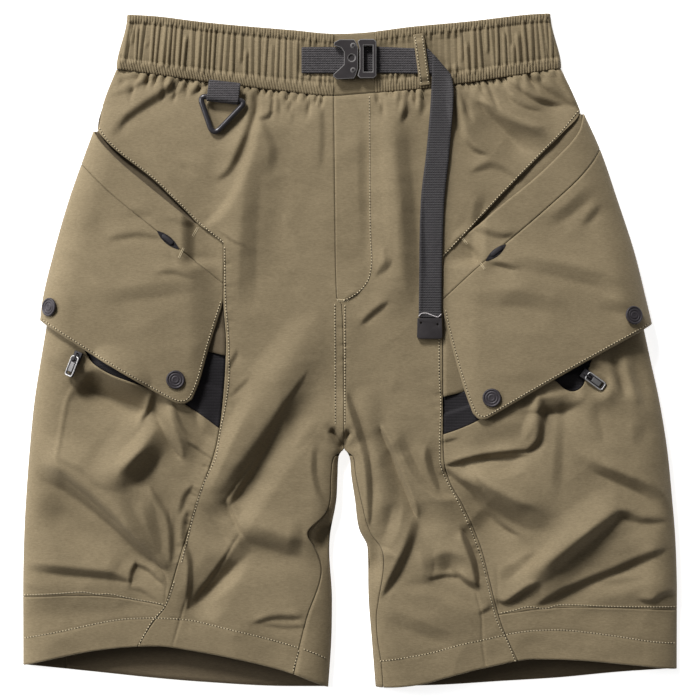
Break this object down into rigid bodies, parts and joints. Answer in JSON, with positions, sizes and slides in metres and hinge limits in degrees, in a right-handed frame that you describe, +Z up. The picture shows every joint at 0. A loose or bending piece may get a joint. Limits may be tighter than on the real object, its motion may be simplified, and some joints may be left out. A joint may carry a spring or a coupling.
{
  "type": "cargo shorts",
  "caption": "Pair of knee-length cargo shorts laid flat, front up: gathered elastic waist with a webbing belt and buckle, zipped saddle flaps over side pockets, wire ring.",
  "frame": {"origin": "on the surface that the shorts lie on, under the middle of their bounding box", "axes": "+X towards the wearer's left hip, +Y from the hems to the waist, +Z up from the surface, out of the garment's front"},
  "size_m": [0.5252, 0.5401, 0.03],
  "materials": {
    "khaki_cloth": "matt woven canvas",
    "black_webbing": "matt ribbed webbing and zip tape",
    "black_plastic": "fine satin",
    "gunmetal": "dark gunmetal plating"
  },
  "bodies": {
    "garment": {"back_left": "khaki_cloth", "back_right": "khaki_cloth", "belt_loop": "khaki_cloth", "belt_strap": "black_webbing", "belt_tab": "black_webbing", "belt_tip": "black_plastic", "belt_webbing": "black_webbing", "buckle_frame": "black_plastic", "buckle_hook": "black_plastic", "cargo_pocket_left": "khaki_cloth", "cargo_pocket_right": "khaki_cloth", "front_left": "khaki_cloth", "front_right": "khaki_cloth", "hidden_slider_left": "black_plastic", "hidden_slider_right": "black_plastic", "pocket_facing_left": "khaki_cloth", "pocket_facing_right": "khaki_cloth", "pocket_flap_left": "khaki_cloth", "pocket_flap_right": "khaki_cloth", "pocket_welt_left": "khaki_cloth", "pocket_welt_right": "khaki_cloth", "ring_loop": "black_webbing", "side_hem_left": "khaki_cloth", "side_hem_right": "khaki_cloth", "snap_left_inner": "gunmetal", "snap_left_outer": "gunmetal", "snap_right_inner": "gunmetal", "snap_right_outer": "gunmetal", "waistband": "khaki_cloth", "waistband_tab": "khaki_cloth", "zip_slider_left": "gunmetal", "zip_slider_right": "gunmetal", "zip_tape_left": "black_webbing", "zip_tape_right": "black_webbing"},
    "ring": {"ring": "gunmetal"},
    "pull_left": {"zip_pull_left": "gunmetal"},
    "pull_right": {"zip_pull_right": "gunmetal"}
  },
  "joints": [
    {"name": "ring_swing", "type": "hinge", "parent": "garment", "child": "ring", "pos_m": [-0.1016, 0.201, 0.01347], "axis": [-0.9932, 0.1162, 0], "range_deg": [0, 110]},
    {"name": "pull_left_lift", "type": "hinge", "parent": "garment", "child": "pull_left", "pos_m": [-0.21793, -0.00535, 0.0251], "axis": [-0.8411, 0.3346, -0.425], "range_deg": [0, 90]},
    {"name": "pull_right_lift", "type": "hinge", "parent": "garment", "child": "pull_right", "pos_m": [0.1886, -0.02018, 0.02426], "axis": [-0.5771, -0.8167, 0.004], "range_deg": [0, 90]}
  ]
}
